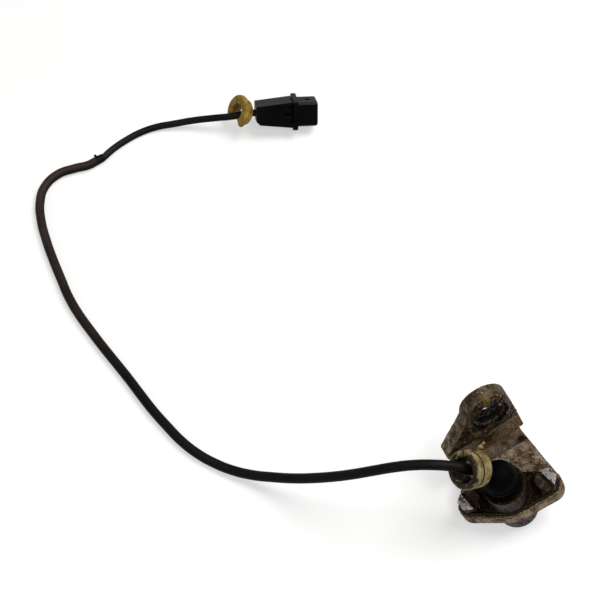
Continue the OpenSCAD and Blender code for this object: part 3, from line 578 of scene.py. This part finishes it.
tieNylon = makeMoulded("tieNylon", cableTones, patch=4, grain=0.5, smooth=0.45, dull=0.6, depth=0.04, ior=1.53,
                       gloss=0.08)
mustardRubber = makeMoulded("mustardRubber", ("#573e0d", "#7a5f1c", "#988238"), patch=4, grain=0.8, smooth=0.5,
                            dull=0.68, depth=0.05, ior=1.45, gloss=0.25)
# the connector's up-facing faces are lighter than its black sides: partly dust, partly painted light on its top
plugDustAndTopLight = {"from": 0.55, "full": 0.8, "least": 0.7, "colour": "#2c2626"}
connectorNylon = makeMoulded("connectorNylon", ("#030303", "#050505", "#090808"), patch=6, grain=0.45, smooth=0.45,
                             dull=0.6, depth=0.05, ior=1.53, gloss=0.04, dustAndTopLight=plugDustAndTopLight)
sealRubber = makeMoulded("sealRubber", ("#1e1a18", "#2b2623", "#3a3430"), patch=4, grain=0.5, smooth=0.55, dull=0.7,
                         depth=0.04)
carrierNylon = makeMoulded("carrierNylon", ("#1c1a1c", "#28262a", "#38353a"), patch=4, grain=0.5, smooth=0.4,
                           dull=0.55, depth=0.04, ior=1.53)
bobbinNylon = makeMoulded("bobbinNylon", ("#b0a487", "#c9bd9f", "#ddd3b8"), patch=5, grain=0.5, smooth=0.45, dull=0.6,
                          depth=0.03, ior=1.53)
pottingResin = makeMoulded("pottingResin", ("#16130f", "#211c16", "#2f2820"), patch=5, grain=0.8, smooth=0.25,
                           dull=0.45, depth=0.05, ior=1.55)
magnetFerrite = makeMoulded("magnetFerrite", ("#232224", "#313032", "#434144"), patch=3, grain=0.4, smooth=0.5,
                            dull=0.7, depth=0.05, ior=1.6)
bushSteel = makeMetal("bushSteel", "#a5a29c", "#7f7568", patch=3, smooth=0.35, dull=0.55)
poleSteel = makeMetal("poleSteel", "#918e8a", "#5d4d40", patch=2.5, smooth=0.4, dull=0.65)
copperWire = makeMetal("enamelledCopper", "#b5652f", "#8a4520", patch=1.5, smooth=0.3, dull=0.45)
terminalBrass = makeMetal("terminalBrass", "#c8a65a", "#98783a", patch=2, smooth=0.3, dull=0.5)
contactBrass = makeMetal("tinnedBrass", "#c3bda8", "#94875f", patch=2, smooth=0.3, dull=0.5)
print("materials made")

# Bracket: the solid's own form with cast edges and a sand skin
casting = {"voxel": 0.42 * mm, "soften": 5, "wave": 7 * mm, "waveDepth": 0.35 * mm,
           "grain": 0.9 * mm, "grainDepth": 0.2 * mm, "oilFrom": -0.4 * mm, "oilUp": 20 * mm,
           "dirt": 1.4 * mm, "dirtDepth": 1.0 * mm}
slope = {"left": -9.0, "right": 20.4, "foot": castLook["footOut"], "top": 8.0, "wall": -0.8, "below": -1.0,
         "behind": -2.0, "clearOut": 8.0, "clearUp": 5.2, "clearSide": 0.5, "skim": 0.02}


def armBlock(name, along, up, out):  # a block given by its ends on the arm
    middle = [sum(ends) / 2 for ends in (along, up, out)]
    sides = [(ends[1] - ends[0]) * mm for ends in (along, out, up)]
    bpy.ops.object.select_all(action="DESELECT")
    bpy.ops.mesh.primitive_cube_add(size=1, location=atArm(*middle), rotation=armTurn.to_euler(), scale=sides)
    block = bpy.context.object
    block.name = block.data.name = name
    bpy.ops.object.transform_apply(location=True, rotation=True, scale=True)
    return block


bracket = copyNode("mounting_bracket", "bracketCasting")
# the wall's foot is steeper than the solid's: its flat wedge comes off and a steep one goes on
oldFoot = armBlock("oldFoot", (slope["left"] - slope["clearSide"], slope["right"] + slope["clearSide"]),
                   (slope["skim"], slope["clearUp"]), (slope["wall"] + slope["skim"], slope["clearOut"]))
applyModifier(bracket, "BOOLEAN", object=oldFoot, operation="DIFFERENCE", solver="EXACT")
bpy.data.objects.remove(oldFoot)
steepFoot = armBlock("steepFoot", (slope["left"], slope["right"]), (slope["below"], slope["top"]),
                     (slope["behind"], slope["foot"]))
slopeOut = armTurn @ Vector((0, -slope["top"], slope["foot"] - slope["wall"])).normalized()
bpy.ops.object.mode_set(mode="EDIT")
bpy.ops.mesh.select_all(action="SELECT")
bpy.ops.mesh.bisect(plane_co=atArm(0, 0, slope["foot"]), plane_no=slopeOut, use_fill=True, clear_outer=True)
bpy.ops.object.mode_set(mode="OBJECT")
pickOnly(bracket)
steepFoot.select_set(True)
bpy.ops.object.join()
softSkin(bracket, casting["voxel"], casting["soften"])
roughSkin(bracket, "castWave", casting["wave"], casting["waveDepth"])
roughSkin(bracket, "castGrain", casting["grain"], casting["grainDepth"])
oilyFront = bracket.vertex_groups.new(name="oilyFront")
padPoints = [v.index for v in bracket.data.vertices
             if (v.co - atArm(0, 0, 0)).dot(armFront) > casting["oilFrom"]
             and (v.co - atSeat(0, 0, 0)).dot(seatUp) > casting["oilUp"]]
oilyFront.add(padPoints, 1.0, "REPLACE")
roughSkin(bracket, "caughtDirt", casting["dirt"], casting["dirtDepth"], group="oilyFront")
finishPiece(bracket, castAlloy, "cast_alloy", "mounting_bracket")

# Sensor housing: moulded edges under a film of oil
housing = {"voxel": 0.36 * mm, "soften": 3, "grain": 1.1 * mm, "grainDepth": 0.1 * mm}
sensorBody = copyNode("sensor_housing", "sensorBody")
softSkin(sensorBody, housing["voxel"], housing["soften"])
roughSkin(sensorBody, "oilFilm", housing["grain"], housing["grainDepth"])
finishPiece(sensorBody, sensorNylon, "sensor_plastic", "sensor_housing")

# Flange screws
screwForm = {"edge": 0.28 * mm, "segments": 3, "sharp": 35.0}
screwHeads = copyNode("flange_screws", "flangeScrews", flatten=True)
applyModifier(screwHeads, "BEVEL", width=screwForm["edge"], segments=screwForm["segments"], limit_method="ANGLE",
              angle_limit=math.radians(screwForm["sharp"]))
finishPiece(screwHeads, screwSteel, "screw_steel", "flange_screws", angle=screwForm["sharp"])

# Grit packed along the flange's edge on the bracket's seat
gritForm = {"ear": 5.5, "nose": 10.5, "low": -0.2, "high": 0.9, "out": 0.95, "in": -0.5, "clear": 1, "sides": 64,
            "voxel": 0.2 * mm, "soften": 2, "grain": 2.9 * mm, "depth": 1.0 * mm, "fine": 0.7 * mm,
            "fineDepth": 0.5 * mm}


def flangeSlab(name, grow, low, high):  # the flange's outline grown a little, as a flat slab
    turn = seatTurn.to_euler()
    ear = seat["screws"] / 2
    parts = []
    for x, radius in ((0, gritForm["nose"]), (ear, gritForm["ear"]), (-ear, gritForm["ear"])):
        bpy.ops.object.select_all(action="DESELECT")
        bpy.ops.mesh.primitive_cylinder_add(
            vertices=gritForm["sides"], radius=(radius + grow) * mm, depth=(high - low) * mm,
            location=atSeat(x, 0, (low + high) / 2), rotation=turn)
        parts.append(bpy.context.object)
    slab = joinParts(parts, name)
    bpy.ops.object.mode_set(mode="EDIT")
    bpy.ops.mesh.select_all(action="SELECT")
    bpy.ops.mesh.convex_hull()
    bpy.ops.object.mode_set(mode="OBJECT")
    return slab


flangeGrit = flangeSlab("flangeGrit", gritForm["out"], gritForm["low"], gritForm["high"])
gritCutter = flangeSlab("gritCutter", gritForm["in"], gritForm["low"] - gritForm["clear"],
                        gritForm["high"] + gritForm["clear"])
applyModifier(flangeGrit, "BOOLEAN", object=gritCutter, operation="DIFFERENCE", solver="EXACT")
bpy.data.objects.remove(gritCutter)
softSkin(flangeGrit, gritForm["voxel"], gritForm["soften"])
roughSkin(flangeGrit, "gritLumps", gritForm["grain"], gritForm["depth"])
roughSkin(flangeGrit, "gritCrumbs", gritForm["fine"], gritForm["fineDepth"])
finishPiece(flangeGrit, roadGrit, "cast_alloy")

# Old grease lining the arm's hole and the low side of its spot face; the hole stays open
greaseForm = {"rings": [(6.5, 2.0, -5.4), (7.9, 1.0, -1.2)], "keepBelow": 35.0, "round": 72, "section": 14,
              "voxel": 0.24 * mm, "soften": 2, "grain": 2.2 * mm, "depth": 1.6 * mm, "fine": 0.7 * mm,
              "fineDepth": 0.4 * mm}
ringTurn = (armTurn @ Matrix.Rotation(math.pi / 2, 3, "X")).to_euler()
rings = []
for radius, thick, out in greaseForm["rings"]:
    bpy.ops.object.select_all(action="DESELECT")
    bpy.ops.mesh.primitive_torus_add(
        major_radius=radius * mm, minor_radius=thick * mm, major_segments=greaseForm["round"],
        minor_segments=greaseForm["section"], location=atArm(*castLook["hole"], out), rotation=ringTurn)
    rings.append(bpy.context.object)
bpy.ops.object.transform_apply(location=True, rotation=True, scale=True)
bpy.ops.object.mode_set(mode="EDIT")
bpy.ops.mesh.select_all(action="SELECT")
bpy.ops.mesh.bisect(plane_co=atArm(0, greaseForm["keepBelow"], 0), plane_no=seatUp, use_fill=True, clear_outer=True)
bpy.ops.object.mode_set(mode="OBJECT")
pickOnly(rings[0])
bpy.ops.object.transform_apply(location=True, rotation=True, scale=True)
rings[1].select_set(True)
bpy.ops.object.join()
boreGrease = bpy.context.object
boreGrease.name = boreGrease.data.name = "boreGrease"
softSkin(boreGrease, greaseForm["voxel"], greaseForm["soften"])
roughSkin(boreGrease, "greaseLumps", greaseForm["grain"], greaseForm["depth"])
roughSkin(boreGrease, "greaseCrumbs", greaseForm["fine"], greaseForm["fineDepth"])
finishPiece(boreGrease, oldGrease, "cast_alloy")

# Crumbs stuck by the hole, under the arm and on the flange
crumbs = [(atArm(18.1, 34.2, -1.2), 1.0), (atArm(7.2, 38.6, -1.2), 0.9), (atArm(10.6, 40.6, -0.9), 0.7),
          (atArm(8.4, 39.6, -1.2), 0.7), (atArm(0.4, 12.6, -0.2), 1.6), (atArm(2.2, 13.6, -0.2), 1.1),
          (atArm(-1.2, 11.4, -0.2), 1.0), (atSeat(-15.2, -2.9, 3.5), 0.9)]
crumbForm = {"subdivisions": 2, "voxel": 0.16 * mm, "soften": 1, "grain": 0.9 * mm, "depth": 0.9 * mm}
balls = []
for spot, radius in crumbs:
    bpy.ops.object.select_all(action="DESELECT")
    bpy.ops.mesh.primitive_ico_sphere_add(subdivisions=crumbForm["subdivisions"], radius=radius * mm, location=spot)
    balls.append(bpy.context.object)
stuckCrumbs = joinParts(balls, "stuckCrumbs")
softSkin(stuckCrumbs, crumbForm["voxel"], crumbForm["soften"])
roughSkin(stuckCrumbs, "crumbLumps", crumbForm["grain"], crumbForm["depth"])
finishPiece(stuckCrumbs, tanCrumbs, "cast_alloy")

# Boot over the sensor's top
bootForm = {"voxel": 0.34 * mm, "soften": 6}
softCopy("cable_boot", "cableBoot", bootForm, bootRubber, "boot_rubber")

# Grommet on the cable at the boot
grommetForm = {"voxel": 0.3 * mm, "soften": 3}
grommet = softCopy("sensor_grommet", "cableGrommet", grommetForm, creamRubber, "cream_rubber")

# Open grommet on the lead behind the connector
leadRing = {"voxel": 0.26 * mm, "soften": 3}
leadGrommet = softCopy("lead_grommet", "leadGrommet", leadRing, mustardRubber, "mustard_rubber")

# Tapered sleeve over the end of the sheath
sleeveForm = {"voxel": 0.14 * mm, "soften": 4}
sleeve = softCopy("sleeve_tie", "sheathSleeve", sleeveForm, tieNylon, "tie_plastic")

# Connector: two mouldings with small radii on every edge, two round holes and a chamfered nose
plug = {"exit": (-117.4, 216.1, 12.24), "heading": 6.0, "dip": 4.0, "roll": 33.0,
        "edge": 0.3, "segments": 3, "sharp": 30.0, "smooth": 35.0,
        "end": 33.5, "half": (6.3, 6.8), "endNear": 0.1, "rimFrom": 0.95, "endChamfer": 1.1, "endSegments": 2,
        "holeSides": 32, "holeDepth": 4, "latch": {"at": (28.3, 0.0, 6.4), "radius": 1.5, "axis": "Z"},
        "side": {"at": (16.8, -6.0, 0.4), "radius": 1.3, "axis": "Y"}}
plugTurn = (Matrix.Rotation(math.radians(plug["heading"]), 3, "Z") @ Matrix.Rotation(math.radians(plug["dip"]), 3, "Y")
            @ Matrix.Rotation(math.radians(-plug["roll"]), 3, "X"))


def boreHole(piece, hole):  # a round hole cut into a moulding of the connector
    turn = plugTurn if hole["axis"] == "Z" else plugTurn @ Matrix.Rotation(math.pi / 2, 3, "X")
    bpy.ops.object.select_all(action="DESELECT")
    bpy.ops.mesh.primitive_cylinder_add(
        vertices=plug["holeSides"], radius=hole["radius"] * mm, depth=plug["holeDepth"] * mm,
        location=(Vector(plug["exit"]) + plugTurn @ Vector(hole["at"])) * mm, rotation=turn.to_euler())
    drill = bpy.context.object
    applyModifier(piece, "BOOLEAN", object=drill, operation="DIFFERENCE", solver="EXACT")
    bpy.data.objects.remove(drill)


plugRear = copyNode("connector_rear", "connectorRear", flatten=True)
plugShell = copyNode("connector_shell", "connectorShell", flatten=True)
boreHole(plugShell, plug["latch"])
boreHole(plugRear, plug["side"])
pickOnly(plugShell)
bpy.ops.object.mode_set(mode="EDIT")
bpy.ops.mesh.select_mode(type="EDGE")
bpy.ops.mesh.select_all(action="DESELECT")
bpy.ops.object.mode_set(mode="OBJECT")
spots = [plugTurn.transposed() @ (v.co / mm - Vector(plug["exit"])) for v in plugShell.data.vertices]
rim = [p.x > plug["end"] - plug["endNear"]
       and max(abs(p.y) / plug["half"][0], abs(p.z) / plug["half"][1]) > plug["rimFrom"] for p in spots]
for edge in plugShell.data.edges:
    edge.select = all(rim[i] for i in edge.vertices)
bpy.ops.object.mode_set(mode="EDIT")
bpy.ops.mesh.bevel(offset=plug["endChamfer"] * mm, segments=plug["endSegments"], affect="EDGES")
bpy.ops.object.mode_set(mode="OBJECT")
for piece, node in ((plugRear, "connector_rear"), (plugShell, "connector_shell")):
    applyModifier(piece, "BEVEL", width=plug["edge"] * mm, segments=plug["segments"], limit_method="ANGLE",
                  angle_limit=math.radians(plug["sharp"]))
    finishPiece(piece, connectorNylon, "connector_plastic", node, angle=plug["smooth"])
    applyModifier(piece, "WEIGHTED_NORMAL", keep_sharp=True)

# Cords, now that the pieces on them are there
finishPiece(sheathCord, sheathRubber, "sheath_rubber", "sensor_cable")
finishPiece(leadCord, leadRubber, "lead_rubber", "lead_cable")

# CAD solids that stay as they are, each with its own finish
keptSolids = {
    "flange_bushes": bushSteel, "pole_pin": poleSteel, "coil_bobbin": bobbinNylon, "coil_winding": copperWire,
    "magnet": magnetFerrite, "coil_terminals": terminalBrass, "potting_plug": pottingResin, "rear_seal": sealRubber,
    "contact_carrier": carrierNylon, "contact_pins": contactBrass,
}
for node, material in keptSolids.items():
    solid = frame["nodes"][node]
    solid.data.materials.clear()
    solid.data.materials.append(material)
print("inner solids finished")

# Table, a pale matt sheet that keeps the shadow
table = {"size": 6.0, "colour": "#f4f3f1", "shade": "#f2f1ef", "fibre": 60.0, "white": 0.52}
bpy.ops.object.select_all(action="DESELECT")
bpy.ops.mesh.primitive_plane_add(size=table["size"], location=(0, 0, 0))
floor = bpy.context.object
floor.name = "tableTop"
paper, tree, place = startMaterial("mattPaper")
fibre = addNode(tree, "TexNoise", {"Vector": place, "Scale": 1 / (table["fibre"] * mm), "Detail": 3.0})
tint = addNode(tree, "ValToRGB", {"Fac": fibre}, stops=[
    (0.3, linear(table["shade"])), (0.7, linear(table["colour"]))])
matt = addNode(tree, "BsdfDiffuse", {"Color": tint})
glow = addNode(tree, "Emission", {"Color": (1, 1, 1, 1), "Strength": 1.0})
ray = addNode(tree, "LightPath")
direct = addNode(tree, "Math", {0: ray.outputs["Is Camera Ray"], 1: ray.outputs["Is Glossy Ray"]}, operation="MAXIMUM")
seen = addNode(tree, "Math", {0: direct, 1: ray.outputs["Is Transmission Ray"]}, operation="MAXIMUM")
white = addNode(tree, "Math", {0: seen, 1: table["white"]}, operation="MULTIPLY")
sheet = addNode(tree, "MixShader", {0: white, 1: matt, 2: glow})
addNode(tree, "OutputMaterial", {"Surface": sheet})
floor.data.materials.append(paper)

# Studio light: a big soft lamp behind on the right, a weak one in front, a small one for glints, an even room
lamps = {
    "backRight": {"place": (0.42, 0.25, 1.2), "size": 0.8, "power": 17.0},
    "frontLeft": {"place": (-0.75, -0.6, 1.1), "size": 1.2, "power": 3.8},
    "smallTop": {"place": (0.2, -0.5, 1.1), "size": 0.14, "power": 1.6},
}
lampAim = Vector((-0.09, 0.1, 0.0))
roomLight = 0.22
for name, lamp in lamps.items():
    aim = lampAim - Vector(lamp["place"])
    bpy.ops.object.light_add(type="AREA", location=lamp["place"], rotation=aim.to_track_quat("-Z", "Y").to_euler())
    light = bpy.context.object
    light.name = name
    light.data.shape, light.data.size, light.data.energy = "DISK", lamp["size"], lamp["power"]
world = bpy.data.worlds.new("evenRoom")
bpy.context.scene.world = world
world.use_nodes = True
world.node_tree.nodes.clear()
room = addNode(world.node_tree, "Background", {"Color": (1, 1, 1, 1), "Strength": roomLight})
addNode(world.node_tree, "OutputWorld", {"Surface": room})
print("table and lamps set")
